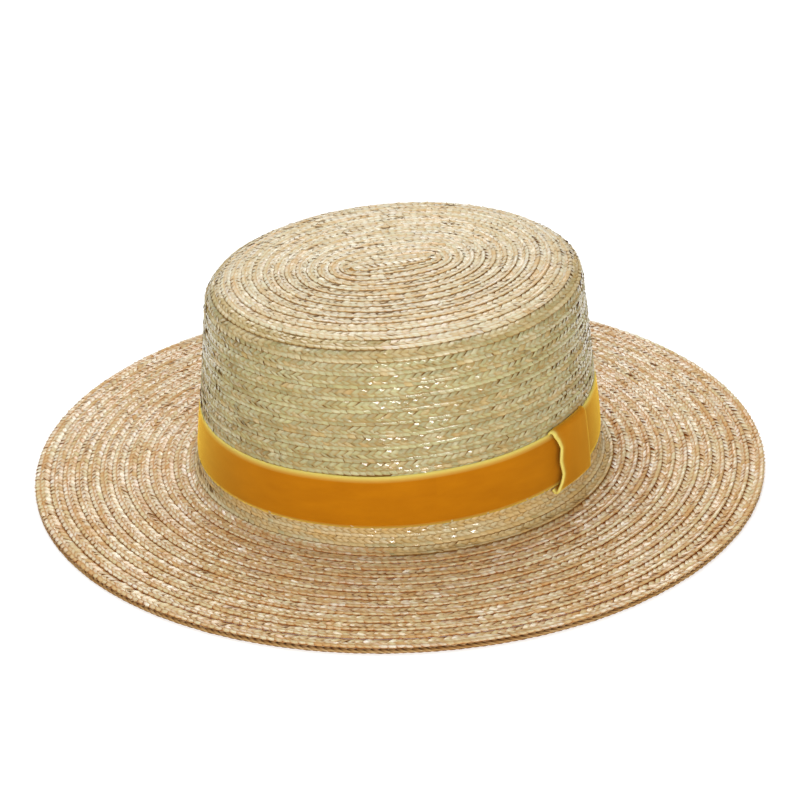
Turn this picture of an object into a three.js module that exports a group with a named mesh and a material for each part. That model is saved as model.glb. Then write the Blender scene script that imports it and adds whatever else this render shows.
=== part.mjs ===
// Wide brim straw hat: crown and brim of sewn straw plait, a doubled edge row under the brim,
// a velvet ribbon round the foot of the crown and a ribbon keeper that wraps it.
// Millimetres, +Z up. The origin lies under the middle of the hat, on the plane that the brim
// rests on. The wearer faces -Y, and +X is their left.
import * as THREE from 'three';
import { mergeVertices } from 'three/addons/utils/BufferGeometryUtils.js';

// Head oval, measured outside the crown where it meets the brim
const HEAD_HALF_WIDTH = 90;
const HEAD_HALF_LENGTH = 96;

// Plait: wall under the rows, rise of a row's outer lip over the next row, gap between pieces
const PLAIT_WALL = 1.2;
const ROW_RISE = 0.8;
const PIECE_GAP = 0.3;

// Brim and its doubled edge row
const BRIM_WIDTH = 77.3;
const BRIM_SLOPE_DEG = 1.1;
const EDGE_THICKNESS = 1.2;
const EDGE_WIDTH = 6.6;
const EDGE_PROUD = 0.2;
const BRIM_EDGE_TOP = EDGE_THICKNESS + PIECE_GAP + PLAIT_WALL;

// Crown: the wall leans in, rolls over a tight shoulder, and a soft dome runs out to a flat tip
const WALL_LEAN_DEG = 5.95;
const DOME_DEG = 29.5;
const HEADLINE_RADIUS = 6.8;
const SHOULDER_RADIUS = 7.5;
const DOME_RADIUS = 39.8;
const WALL_LENGTH = 80.3;

// The soft crown is a little higher at the back and stands a little to the wearer's right
const CROWN_TILT = 0.038;
const CROWN_TILT_RISE = 20;
const CROWN_SHIFT = -3.2;
const CROWN_SHIFT_RISE = 95;

// Ribbon band and keeper
const RIBBON_WIDTH = 25;
const RIBBON_THICKNESS = 1.2;
const RIBBON_CROWNING = 0.2;
const RIBBON_EASE = 0.3;
const KEEPER_FROM_DEG = 37.5;
const KEEPER_TO_DEG = 53.5;
const KEEPER_LIP = 1.2;
const KEEPER_LIP_CLEAR = 1.15;

// Facets round the hat, and the largest bend that one facet of the profile takes
const SEGMENTS = 48;
const FACET_TURN_DEG = 20;

// Rows of plait in each stretch of the profile, from the brim's edge to the middle of the tip
const BRIM_ROWS = [
  { stretch: 'edge row', length: 7.4, rows: 1 },
  { stretch: 'brim rows', length: 63.9, rows: 11 },
];
const SIDE_ROWS = [
  { stretch: 'below the ribbon', length: 14.4, rows: 3 },
  { stretch: 'under the ribbon', length: RIBBON_WIDTH + 2 * RIBBON_EASE, rows: 0 },
  { stretch: 'above the ribbon', length: 57.3, rows: 10 },
];
const TIP_ROW_COUNT = 14;

// The keeper's near edge stands off the ribbon: share of its width, and lift there
const KEEPER_SECTIONS = [
  { share: 0, lift: 1.1 },
  { share: 0.1, lift: 0.6 },
  { share: 0.25, lift: 0 },
  { share: 0.5, lift: 0 },
  { share: 0.75, lift: 0 },
  { share: 1, lift: 0 },
];

const radians = THREE.MathUtils.degToRad;
const clamp = THREE.MathUtils.clamp;
const totalLength = (stretches) => stretches.reduce((sum, stretch) => sum + stretch.length, 0);

// Profile of the hat's outer face, walked from the brim's edge inward and up to the tip.
// Each section is straight or an arc; a positive turn bends the walk upward.
const PROFILE_SECTIONS = [
  { name: 'brim', length: totalLength(BRIM_ROWS), turnDeg: 0 },
  { name: 'headline', radius: HEADLINE_RADIUS, turnDeg: 90 - WALL_LEAN_DEG - BRIM_SLOPE_DEG },
  { name: 'wall', length: WALL_LENGTH, turnDeg: 0 },
  { name: 'shoulder', radius: SHOULDER_RADIUS, turnDeg: DOME_DEG + WALL_LEAN_DEG - 90 },
  { name: 'dome', radius: DOME_RADIUS, turnDeg: -DOME_DEG },
];

// Follows one section from a start place and gives the place at a run along it
function follow(section, start, run) {
  const turn = radians(section.turnDeg);
  if (turn === 0) {
    return {
      out: start.out - run * Math.cos(start.heading),
      z: start.z + run * Math.sin(start.heading),
      heading: start.heading,
    };
  }
  const radius = section.radius * Math.sign(turn);
  const heading = start.heading + run / radius;
  return {
    out: start.out - radius * (Math.sin(heading) - Math.sin(start.heading)),
    z: start.z - radius * (Math.cos(heading) - Math.cos(start.heading)),
    heading,
  };
}

// Joins the sections end to end and closes the profile with the flat middle of the tip
function layOutProfile() {
  const laid = [];
  let place = { out: BRIM_WIDTH, z: BRIM_EDGE_TOP, heading: radians(BRIM_SLOPE_DEG) };
  let from = 0;
  for (const section of PROFILE_SECTIONS) {
    const length = section.length ?? section.radius * Math.abs(radians(section.turnDeg));
    laid.push({ ...section, length, from, start: place });
    place = follow(section, place, length);
    from += length;
  }
  laid.push({ name: 'tip', turnDeg: 0, length: place.out + HEAD_HALF_WIDTH, from, start: place });
  return laid;
}

const PROFILE = layOutProfile();
const sectionNamed = (name) => PROFILE.find((section) => section.name === name);
const sectionEnd = (section) => section.from + section.length;

const BRIM_END = sectionEnd(sectionNamed('brim'));
const SHOULDER_END = sectionEnd(sectionNamed('shoulder'));
const TIP_MIDDLE = sectionEnd(sectionNamed('tip'));
const HEADLINE_TOP = sectionNamed('headline').start.z;
const RIBBON_FROM = BRIM_END + SIDE_ROWS[0].length + RIBBON_EASE;
const RIBBON_TO = RIBBON_FROM + RIBBON_WIDTH;

// Place of a profile point: distance along the outer face, and offset outward from that face
function profilePlace(along, offset) {
  const section = PROFILE.findLast((each) => each.from <= along) ?? PROFILE[0];
  const place = follow(section, section.start, along - section.from);
  return {
    out: place.out + offset * Math.sin(place.heading),
    z: place.z + offset * Math.cos(place.heading),
    heading: place.heading,
  };
}

// A point of the hat on the oval that lies outside the head oval by "out", at a height
function hatPoint(angle, out, z) {
  const x = (HEAD_HALF_WIDTH + out) * Math.cos(angle);
  const y = (HEAD_HALF_LENGTH + out) * Math.sin(angle);
  const rise = z - HEADLINE_TOP;
  const shift = CROWN_SHIFT * clamp(rise / CROWN_SHIFT_RISE, 0, 1);
  const tilt = CROWN_TILT * y * clamp(rise / CROWN_TILT_RISE, 0, 1);
  return new THREE.Vector3(x + shift, y, z + tilt);
}

const profilePoint = (angle, point) => {
  const place = profilePlace(point.along, point.offset);
  return hatPoint(angle, place.out, place.z);
};

// Facets of a stretch of profile, split where the profile bends by more than one facet takes
function splitStretch(from, to) {
  const bend = Math.abs(profilePlace(to, 0).heading - profilePlace(from, 0).heading);
  const count = Math.max(1, Math.ceil(bend / radians(FACET_TURN_DEG)));
  return Array.from({ length: count + 1 }, (_, i) => from + ((to - from) * i) / count);
}

// Outer face of a run of rows: each row's outer lip stands over the row outside it,
// and the row slopes down to where it goes under the lip of the row inside it
function rowedFace(from, stretches) {
  const points = [];
  let along = from;
  for (const { length, rows } of stretches) {
    const rise = rows > 0 ? ROW_RISE : 0;
    const pitch = length / Math.max(rows, 1);
    for (let row = 0; row < Math.max(rows, 1); row += 1) {
      const stops = splitStretch(along, along + pitch);
      stops.forEach((stop, i) => {
        points.push({ along: stop, offset: rise * (1 - i / (stops.length - 1)) });
      });
      along += pitch;
    }
  }
  return points;
}

// Inner face of the plait, smooth, from one end of a piece back to the other
function innerFace(from, to) {
  const bounds = [from, ...PROFILE.map((each) => each.from).filter((at) => at > from && at < to), to];
  const stops = bounds.slice(1).flatMap((end, i) => splitStretch(bounds[i], end));
  const different = stops.filter((stop, i) => i === 0 || stop !== stops[i - 1]);
  return different.reverse().map((along) => ({ along, offset: -PLAIT_WALL }));
}

// Draws the ends of a piece in by half a gap, so that neighbours stay clear
function clearEnds(points, from, to) {
  const low = from + PIECE_GAP / 2;
  const high = to - PIECE_GAP / 2;
  return points.map(({ along, offset }) => ({ along: clamp(along, low, high), offset }));
}

// Drops points that repeat the one before them
function withoutRepeats(points) {
  const same = (a, b) => a.along === b.along && a.offset === b.offset;
  return points.filter((point, i) => i === 0 || !same(point, points[i - 1]));
}

// Facets between rings of points: every ring has the same number of points and closes on
// itself, and so does the row of rings where it is a loop
function ringFacets(ringCount, count, loop) {
  const index = [];
  const bands = loop ? ringCount : ringCount - 1;
  for (let band = 0; band < bands; band += 1) {
    const near = band * count;
    const far = ((band + 1) % ringCount) * count;
    for (let i = 0; i < count; i += 1) {
      const next = (i + 1) % count;
      index.push(near + i, near + next, far + next);
      index.push(near + i, far + next, far + i);
    }
  }
  return index;
}

// Closed geometry from rings of points and the facets between them
function ringsGeometry(rings, index) {
  const positions = rings.flat().flatMap((point) => point.toArray());
  const geometry = new THREE.BufferGeometry();
  geometry.setAttribute('position', new THREE.Float32BufferAttribute(positions, 3));
  geometry.setIndex(index);
  const merged = mergeVertices(geometry, 1e-4);
  merged.computeVertexNormals();
  return merged;
}

const ANGLES = Array.from({ length: SEGMENTS }, (_, i) => (2 * Math.PI * i) / SEGMENTS);

// A piece swept right round the hat from a profile
function sweptGeometry(points, loop) {
  const rings = points.map((point) => ANGLES.map((angle) => profilePoint(angle, point)));
  return ringsGeometry(rings, ringFacets(rings.length, SEGMENTS, loop));
}

const STRAW = { roughness: 0.6, metalness: 0 };
const VELVET = { roughness: 0.9, metalness: 0 };

function namedMesh(name, geometry, colour, finish) {
  const mesh = new THREE.Mesh(geometry, new THREE.MeshStandardMaterial({ color: colour, ...finish }));
  mesh.name = name;
  return mesh;
}

// Brim: a flat sheet of rows, from its edge to the headline
function makeBrim() {
  const points = [...rowedFace(0, BRIM_ROWS), ...innerFace(0, BRIM_END)];
  const clear = clearEnds(points, -PIECE_GAP / 2, BRIM_END);
  return namedMesh('brim', sweptGeometry(withoutRepeats(clear), true), 0xd9b98c, STRAW);
}

// Doubled edge: the outermost row is turned under, and the hat rests on its flat face
function makeBrimEdge() {
  const outer = BRIM_WIDTH + EDGE_PROUD;
  const inner = BRIM_WIDTH - EDGE_WIDTH;
  const round = EDGE_THICKNESS / 2;
  const section = [
    { out: inner, z: 0 },
    { out: inner, z: EDGE_THICKNESS },
    { out: outer - round, z: EDGE_THICKNESS },
    { out: outer - round * 0.3, z: EDGE_THICKNESS * 0.85 },
    { out: outer, z: round },
    { out: outer - round * 0.3, z: EDGE_THICKNESS * 0.15 },
    { out: outer - round, z: 0 },
  ];
  const rings = section.map(({ out, z }) => ANGLES.map((angle) => hatPoint(angle, out, z))).reverse();
  const facets = ringFacets(rings.length, SEGMENTS, true);
  return namedMesh('brim_edge', ringsGeometry(rings, facets), 0xc09a62, STRAW);
}

// Side of the crown: the foot that rises from the brim, the wall, and the roll of the shoulder
function makeCrownSide() {
  const points = [...rowedFace(BRIM_END, SIDE_ROWS), ...innerFace(BRIM_END, SHOULDER_END)];
  const clear = clearEnds(points, BRIM_END, SHOULDER_END);
  return namedMesh('crown_side', sweptGeometry(withoutRepeats(clear), true), 0xcbb785, STRAW);
}

// Tip of the crown: rows that grow round a short straight start
function makeCrownTip() {
  const rows = [{ stretch: 'tip', length: TIP_MIDDLE - SHOULDER_END, rows: TIP_ROW_COUNT }];
  const outside = rowedFace(SHOULDER_END, rows);
  const middle = { along: TIP_MIDDLE, offset: 0 };
  const points = [...innerFace(SHOULDER_END, TIP_MIDDLE), ...outside.slice(0, -1), middle];
  const clear = clearEnds(points, SHOULDER_END, TIP_MIDDLE + PIECE_GAP / 2);
  return namedMesh('crown_tip', sweptGeometry(withoutRepeats(clear), false), 0xe3cfa6, STRAW);
}

// Ribbon band: a ring that lies on the smooth foot of the wall
function makeRibbonBand() {
  const outside = RIBBON_EASE + RIBBON_THICKNESS;
  const points = [
    { along: RIBBON_FROM, offset: RIBBON_EASE },
    { along: RIBBON_FROM, offset: outside },
    { along: RIBBON_FROM + RIBBON_WIDTH / 3, offset: outside + RIBBON_CROWNING },
    { along: RIBBON_TO - RIBBON_WIDTH / 3, offset: outside + RIBBON_CROWNING },
    { along: RIBBON_TO, offset: outside },
    { along: RIBBON_TO, offset: RIBBON_EASE },
  ];
  return namedMesh('ribbon_band', sweptGeometry(points, true), 0xc9851c, VELVET);
}

// Ribbon keeper: a short loop of the same ribbon that wraps the band from edge to edge
function makeRibbonKeeper() {
  const under = RIBBON_EASE + RIBBON_THICKNESS + RIBBON_CROWNING + PIECE_GAP;
  const over = under + RIBBON_THICKNESS;
  const bottom = RIBBON_FROM - PIECE_GAP;
  const top = RIBBON_TO + PIECE_GAP;
  const section = [
    { along: bottom, offset: KEEPER_LIP_CLEAR },
    { along: bottom, offset: under },
    { along: top, offset: under },
    { along: top, offset: KEEPER_LIP_CLEAR },
    { along: top + KEEPER_LIP, offset: KEEPER_LIP_CLEAR },
    { along: top + KEEPER_LIP, offset: over },
    { along: bottom - KEEPER_LIP, offset: over },
    { along: bottom - KEEPER_LIP, offset: KEEPER_LIP_CLEAR },
  ];
  const turn = radians(KEEPER_TO_DEG - KEEPER_FROM_DEG);
  const rings = KEEPER_SECTIONS.map(({ share, lift }) => {
    const angle = radians(KEEPER_FROM_DEG) + share * turn;
    return section.map(({ along, offset }) => profilePoint(angle, { along, offset: offset + lift }));
  });
  return namedMesh('ribbon_keeper', cappedGeometry(rings, section), 0xd18f22, VELVET);
}

// Closed geometry through rings, with both end rings filled by their flat section
function cappedGeometry(rings, section) {
  const outline = section.map(({ along, offset }) => new THREE.Vector2(along, offset));
  const last = (rings.length - 1) * section.length;
  const index = ringFacets(rings.length, section.length, false);
  for (const [a, b, c] of THREE.ShapeUtils.triangulateShape(outline, [])) {
    index.push(a, c, b);
    index.push(last + a, last + b, last + c);
  }
  return ringsGeometry(rings, index);
}

const hat = new THREE.Group();
hat.name = 'straw_hat';
hat.add(makeBrimEdge(), makeBrim(), makeCrownSide(), makeCrownTip(), makeRibbonBand(), makeRibbonKeeper());

export default hat;
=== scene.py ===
import math

import bpy
import numpy as np
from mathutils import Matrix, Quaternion, Vector


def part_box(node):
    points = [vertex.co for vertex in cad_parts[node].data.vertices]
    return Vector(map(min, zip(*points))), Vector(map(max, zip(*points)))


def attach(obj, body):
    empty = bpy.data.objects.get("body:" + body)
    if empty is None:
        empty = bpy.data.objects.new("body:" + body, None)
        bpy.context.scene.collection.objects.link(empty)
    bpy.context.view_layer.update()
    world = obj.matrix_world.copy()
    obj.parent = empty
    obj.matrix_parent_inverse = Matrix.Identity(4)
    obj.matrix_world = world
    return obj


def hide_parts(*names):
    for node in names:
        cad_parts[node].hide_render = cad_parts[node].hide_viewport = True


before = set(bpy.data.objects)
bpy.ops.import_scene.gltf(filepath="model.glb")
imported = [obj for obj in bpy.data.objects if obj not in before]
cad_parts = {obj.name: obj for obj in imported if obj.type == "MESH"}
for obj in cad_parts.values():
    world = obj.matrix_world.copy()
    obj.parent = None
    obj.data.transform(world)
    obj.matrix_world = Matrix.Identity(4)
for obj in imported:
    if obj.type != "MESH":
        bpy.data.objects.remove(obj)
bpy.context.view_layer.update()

bl_info = {
    "name": "Wide Brim Straw Hat",
    "version": (1, 0, 0),
    "blender": (4, 5, 0),
    "location": "3D View > Sidebar > Straw Hat",
    "description": "Dresses a straw hat's solids with sewn plait and a velvet ribbon",
    "category": "Object",
}

EDGE_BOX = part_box("brim_edge")
MM = 0.001
BODY = "root"
HEAD_HALF_WIDTH = 0.090
# The brim's rows end a little inside the edge
EDGE_PROUD = 0.0002
BRIM_WIDTH = EDGE_BOX[1][0] - HEAD_HALF_WIDTH - EDGE_PROUD


def linear(hex_colour):
    """Linear colour of an sRGB hex value."""
    parts = [int(hex_colour[i:i + 2], 16) / 255 for i in (1, 3, 5)]
    return tuple(c / 12.92 if c <= 0.04045 else ((c + 0.055) / 1.055) ** 2.4 for c in parts)


def number_prop(name, description, default):
    return bpy.props.FloatProperty(name=name, description=description, default=default, precision=4)


def length_prop(name, description, default):
    return bpy.props.FloatProperty(
        name=name, description=description, default=default, unit="LENGTH", precision=5
    )


def angle_prop(name, description, degrees):
    return bpy.props.FloatProperty(
        name=name, description=description, default=math.radians(degrees), subtype="ANGLE"
    )


def colour_prop(name, description, hex_colour):
    return bpy.props.FloatVectorProperty(
        name=name, description=description, default=linear(hex_colour), subtype="COLOR", min=0, max=1
    )


class HatSizes(bpy.types.PropertyGroup):
    """Sizes of the hat's form, the same as those of its solids."""

    head_half_width: length_prop("Head half width", "Half the width of the crown's oval", HEAD_HALF_WIDTH)
    head_half_length: length_prop("Head half length", "Half the length of the crown's oval", 0.096)
    brim_width: length_prop("Brim width", "From the crown's foot to the edge", BRIM_WIDTH)
    brim_flat: length_prop("Brim flat", "From the edge to the headline's bend", 0.0713)
    brim_slope: angle_prop("Brim slope", "Rise of the brim towards the crown", 1.1)
    edge_top: length_prop("Edge top", "Height of the brim's upper face at its edge", 0.0027)
    wall_lean: angle_prop("Wall lean", "Inward lean of the crown's wall", 5.95)
    wall_length: length_prop("Wall length", "Straight part of the crown's wall", 0.0803)
    headline_radius: length_prop("Headline radius", "Bend from the brim to the wall", 0.0068)
    shoulder_radius: length_prop("Shoulder radius", "Bend from the wall to the dome of the tip", 0.0075)
    dome_radius: length_prop("Dome radius", "Bend of the tip's outer rows", 0.0398)
    dome_turn: angle_prop("Dome turn", "Fall of the tip at its outer rows", 29.5)
    crown_tilt: number_prop("Crown tilt", "Rise of the soft crown towards the back", 0.038)
    crown_tilt_rise: length_prop("Crown tilt rise", "Height over which the tilt comes in", 0.020)
    crown_shift: length_prop("Crown shift", "Sideways lean of the soft crown at its top", -0.0032)
    crown_shift_rise: length_prop("Crown shift rise", "Height over which the lean comes in", 0.095)
    start_stretch: length_prop("Start stretch", "Extra half length of the rows at the tip's start", 0.008)


class PlaitSizes(bpy.types.PropertyGroup):
    """Sizes of the straw plait and the way that it is sewn."""

    width: length_prop("Plait width", "Width of the plait from lip to inner edge", 0.0072)
    step: length_prop("Plait step", "Length of plait from one straw to the next", 0.0034)
    rise: length_prop("Row rise", "Rise of a row's lip over the row outside it", 0.00072)
    wall: length_prop("Plait wall", "Thickness between the outer and inner straws", 0.0008)
    front: angle_prop("Row start", "Angle where the turns are counted from", -13)
    jog: angle_prop("Brim jog", "Angle where the brim's rows step in by one row", 165)
    jog_width: angle_prop("Brim jog width", "Stretch over which they step in", 44)
    tip_rows: bpy.props.IntProperty(
        name="Tip rows", description="Rows in the crown's tip", default=14, min=4
    )
    seed: bpy.props.IntProperty(name="Seed", description="Start of the straws' variation", default=7)


# The gap shade and the shade colours are painted shade, for the straw between the floats and deep under a
# lip
STRAW_SHADES = {
    "ruddy": "Ruddy straws",
    "honey": "Common straws",
    "pale": "Palest straws",
    "gap": "Straw between the floats",
    "shade": "Straw deep under a lip",
    "warm": "Warm straws",
    "green": "Straws cut early",
}


def straw_props(part, **shades):
    """Colour properties of the straw in one part of the hat."""
    return {
        f"{part}_{shade}": colour_prop(f"{part} {shade}".capitalize(), STRAW_SHADES[shade], colour)
        for shade, colour in shades.items()
    }


class StrawColours(bpy.types.PropertyGroup):
    """Colours of the straw in each part of the hat."""

    __annotations__ = {
        **straw_props(
            "brim", ruddy="#C4965C", honey="#C5AA76", pale="#E2DAC8",
            gap="#A8703A", shade="#885424", warm="#C4965C", green="#D3CA9E",
        ),
        **straw_props(
            "side", ruddy="#9C8050", honey="#9C966A", pale="#CEC6A2",
            gap="#9C7638", shade="#75562A", warm="#D4AE6C", green="#BEBA86",
        ),
        **straw_props(
            "tip", ruddy="#D0AC78", honey="#CFC09A", pale="#DAD2C2",
            gap="#C0965A", shade="#A07C46", warm="#D0AC78", green="#D6D2B2",
        ),
        # The edge's straw is painted darker and browner than the brim's: painted shade for the bead,
        # which lies in shadow
        **straw_props(
            "edge", ruddy="#A67E4A", honey="#B6965F", pale="#CEB488",
            gap="#94602C", shade="#54402E", warm="#A67E4A", green="#BCA06C",
        ),
    }


class RibbonSizes(bpy.types.PropertyGroup):
    """Sizes and colours of the velvet ribbon and its keeper."""

    width: length_prop("Ribbon width", "Width of the ribbon", 0.025)
    thickness: length_prop("Ribbon thickness", "Thickness of the ribbon with its pile", 0.0012)
    foot: length_prop("Ribbon foot", "From the headline to the ribbon's lower edge", 0.0147)
    ease: length_prop("Ribbon ease", "Gap between the ribbon and the straw", 0.0003)
    crowning: length_prop("Ribbon crowning", "Swell of the ribbon between its edges", 0.0003)
    selvedge: length_prop("Selvedge", "Width of the ribbon's pale woven edge", 0.0014)
    keeper_from: angle_prop("Keeper from", "Angle of the keeper's near edge", 37.5)
    keeper_to: angle_prop("Keeper to", "Angle of the keeper's far edge", 53.5)
    pile: colour_prop("Velvet pile", "Colour of the velvet", "#AC6602")
    pile_light: colour_prop("Velvet light", "Colour of the brushed pile", "#B87004")
    edge: colour_prop("Selvedge colour", "Colour of the woven edge", "#E2D270")


class StageSettings(bpy.types.PropertyGroup):
    """Camera, floor and lights."""

    camera_turn: angle_prop("Camera turn", "Turn from the wearer's left to the front", 10.28)
    camera_rise: angle_prop("Camera rise", "Angle of the camera over the floor", 27.55)
    camera_roll: angle_prop("Camera roll", "Roll of the camera", -1.67)
    camera_far: length_prop("Camera distance", "From the camera to its aim", 1.139)
    camera_aim: length_prop("Camera aim height", "Height of the point that the camera aims at", 0.040)
    camera_lens: number_prop("Camera lens", "Focal length in millimetres", 109.06)
    camera_shift_x: number_prop("Camera shift x", "Sideways shift of the picture", 0.0026)
    camera_shift_y: number_prop("Camera shift y", "Upward shift of the picture", -0.0206)
    floor: colour_prop("Floor", "Colour of the floor", "#D4D4D2")
    floor_glow: number_prop("Floor glow", "Light that the floor gives off", 0.52)
    world_light: number_prop("World light", "Strength of the white light all round", 0.31)


class HatSettings(bpy.types.PropertyGroup):
    """All the settings of the hat."""

    sizes: bpy.props.PointerProperty(type=HatSizes)
    plait: bpy.props.PointerProperty(type=PlaitSizes)
    straw: bpy.props.PointerProperty(type=StrawColours)
    ribbon: bpy.props.PointerProperty(type=RibbonSizes)
    stage: bpy.props.PointerProperty(type=StageSettings)


# Form of the hat

# Turns of plait, counted from the brim's edge, at the end of each stretch of the hat
EDGE_TURNS = 1
BRIM_TURNS = 12
FOOT_TURNS = 15
RIBBON_TURNS = 20
SIDE_TURNS = 30
# Under the ribbon the foot's own run of plait ends, the rows change from level to climbing, and
# the outer face has no straws
FOOT_RUN_END = 17
CLIMB_TURN = 19
UNDER_RIBBON = ((15.9, CLIMB_TURN),)
# The rows of the shoulder are painted paler more and more from the first of these turns to the second:
# painted light, where they turn up to the overhead light
SHOULDER_TURNS = (27.4, 29.2, SIDE_TURNS, SIDE_TURNS + 0.01)
SAMPLES_A_TURN = 720
# Rows count as at least this far apart, and each one reaches this far under the next
LEAST_PITCH = 4 * MM
OVERLAP = 1.2 * MM


def running_length(points):
    """Length along a line at each of its points."""
    return np.concatenate([[0], np.cumsum(np.linalg.norm(np.diff(points, axis=0), axis=1))])


class HatForm:
    """The hat's outer face, walked from the brim's edge inward and up to the middle of the tip."""

    def __init__(self, sizes):
        self.sizes = sizes
        upright = math.pi / 2 - sizes.wall_lean
        headline = upright - sizes.brim_slope
        shoulder = upright - sizes.dome_turn
        sections = (
            (sizes.brim_flat, 0),
            (sizes.headline_radius * headline, 1 / sizes.headline_radius),
            (sizes.wall_length, 0),
            (sizes.shoulder_radius * shoulder, -1 / sizes.shoulder_radius),
            (sizes.dome_radius * sizes.dome_turn, -1 / sizes.dome_radius),
        )
        out, height, heading = sizes.brim_width, sizes.edge_top, sizes.brim_slope
        start = 0.0
        laid = []
        for length, curve in sections:
            laid.append((start, out, height, heading, curve))
            start += length
            out, height, heading = self.walk(length, out, height, heading, curve)
        laid.append((start, out, height, heading, 0))
        self.laid = np.array(laid)
        self.brim_end = laid[1][0]
        self.shoulder_end = laid[4][0]
        self.tip_middle = start + out + sizes.head_half_width
        self.headline_height = laid[1][2]
        self.tip_half_width = laid[4][1] + sizes.head_half_width
        self.tip_height = height

    @staticmethod
    def walk(run, out, height, heading, curve):
        """Place after a run along a section that is straight or bends by a constant curve."""
        end = heading + curve * run
        bend = np.where(curve == 0, 1, curve)
        along_out = np.where(curve == 0, run * np.cos(heading), (np.sin(end) - np.sin(heading)) / bend)
        along_up = np.where(curve == 0, run * np.sin(heading), (np.cos(heading) - np.cos(end)) / bend)
        return out - along_out, height + along_up, end

    def profile(self, along, offset):
        """Distance out from the head oval and height, at a distance along the face and off it."""
        index = np.clip(np.searchsorted(self.laid[:, 0], along, side="right") - 1, 0, None)
        start, out, height, heading, curve = self.laid[index].transpose(-1, *range(np.ndim(along)))
        out, height, heading = self.walk(along - start, out, height, heading, curve)
        return out + offset * np.sin(heading), height + offset * np.cos(heading)

    def on_oval(self, angle, out, height):
        """Point on the oval that lies outside the head oval by out; the tip's rows grow longer inward."""
        sizes = self.sizes
        half_width = sizes.head_half_width + out
        inward = np.clip(1 - half_width / self.tip_half_width, 0, 1)
        longer = sizes.head_half_length - sizes.head_half_width + sizes.start_stretch * inward
        turn = np.sin(angle)
        run = (1 - inward) * turn + inward * (1.5 * turn - 0.5 * turn ** 3)
        across = half_width * np.cos(angle)
        lengthwise = half_width * turn + longer * run
        return self.leaned(across, lengthwise, height)

    def leaned(self, across, lengthwise, height):
        """The soft crown's lean and tilt."""
        sizes = self.sizes
        rise = height - self.headline_height
        shift = sizes.crown_shift * np.clip(rise / sizes.crown_shift_rise, 0, 1)
        tilt = sizes.crown_tilt * lengthwise * np.clip(rise / sizes.crown_tilt_rise, 0, 1)
        return np.stack([across + shift, lengthwise, height + tilt], axis=-1)

    def point(self, angle, along, offset):
        out, height = self.profile(along, offset)
        return self.on_oval(angle, out, height)


class SewnRun:
    """A run of plait sewn round and round the hat. A place on it is a length along the run,
    a distance in from the row's lip and a lift off the row."""

    def __init__(self, form, plait, first, last):
        self.form = form
        self.plait = plait
        rows = (
            (0, 0.5 * MM),
            (EDGE_TURNS, 7.4 * MM),
            (BRIM_TURNS, form.brim_end),
            (FOOT_TURNS, form.brim_end + 14.4 * MM),
            (RIBBON_TURNS, form.brim_end + 40 * MM),
            (SIDE_TURNS, form.shoulder_end),
            (SIDE_TURNS + plait.tip_rows, form.tip_middle),
        )
        self.row_turns, self.row_places = np.transpose(rows)
        spare = 0.06
        samples = int((last - first) * SAMPLES_A_TURN) + 1
        self.turns = np.linspace(first - spare, last + spare, samples)
        middle = form.point(self.angle(self.turns), self.lip(self.turns) + plait.width / 2, 0)
        lengths = running_length(middle)
        self.lengths = lengths - np.interp(first, self.turns, lengths)
        self.length = np.interp(last, self.turns, self.lengths)

    def angle(self, turns):
        return self.plait.front + 2 * math.pi * turns

    def lip(self, turns):
        """Distance of the row's lip along the face. The brim's rows are level and step in at the
        jog; on the crown they climb steadily."""
        plait = self.plait
        whole = np.floor(turns)
        part = turns - whole
        jog = (plait.jog - plait.front) / (2 * math.pi)
        ramp = np.clip((part - jog) * 2 * math.pi / plait.jog_width + 0.5, 0, 1)
        step = ramp * ramp * (3 - 2 * ramp)
        level = np.clip((CLIMB_TURN - turns) / (CLIMB_TURN - FOOT_TURNS), 0, 1)
        return np.interp(whole + step * level + part * (1 - level), self.row_turns, self.row_places)

    def turn_at(self, length):
        return np.interp(length, self.lengths, self.turns)

    def place(self, length, inward, lift, inside=False):
        """Points of the run; the inner face is met from inside the hat."""
        plait = self.plait
        turns = self.turn_at(length)
        lip = self.lip(turns)
        pitch = np.maximum(self.lip(turns + 1) - lip, LEAST_PITCH)
        inward = inward * np.maximum(1, (pitch + OVERLAP) / plait.width)
        if inside:
            inward = plait.width - inward
            lift = -plait.wall - lift
        slope = np.maximum(plait.rise * (1 - inward / pitch), -0.4 * plait.rise)
        along = np.minimum(lip + inward, self.form.tip_middle - 0.05 * MM)
        return self.form.point(self.angle(turns), along, slope + lift)


class StartRun:
    """The straight start of the plait in the middle of the tip, which the rows grow round."""

    def __init__(self, form, plait, near, far):
        self.form = form
        self.plait = plait
        self.near = near
        self.length = far - near

    def turn_at(self, length):
        """A turn past all the rows."""
        return np.full(np.shape(length), 60.0)

    def place(self, length, inward, lift, inside=False):
        plait = self.plait
        across = inward - plait.width / 2
        arch = plait.rise * (1 - 0.6 * (across / plait.width * 2) ** 2)
        height = self.form.tip_height + arch + lift
        if inside:
            across = -across
            height = self.form.tip_height - plait.wall - lift
        return self.form.leaned(across, self.near + length, height)


# Straw floats

# Straws that fold up round the lip. Each station is the distance in from the lip, the lift, how
# deep in painted shade it lies and the straw's width along the row, in millimetres. A tilted straw
# tucks one edge under its neighbour.
LIP_STRAW = {
    "stations": (
        (0.50, -0.62, 1.0, 3.6), (0.02, -0.34, 0.9, 3.6), (0.15, -0.04, 0.15, 3.6),
        (0.75, 0.16, 0.0, 3.7), (1.60, 0.16, 0.0, 3.6), (2.40, -0.14, 0.8, 3.0),
    ),
    "lean": -0.5, "tilt": 0.03, "bow": 0.05, "scallop": 0.40, "skew": 0.20,
}
# Straws that cross the plait's middle, nearly along the row
MID_STRAW = {
    "stations": ((1.80, -0.16, 0.7, 3.3), (2.80, 0.09, 0.0, 3.6), (4.00, -0.06, 0.3, 3.5)),
    "lean": -1.9, "tilt": 0.02, "bow": 0.03, "skew": -0.3,
}
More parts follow.
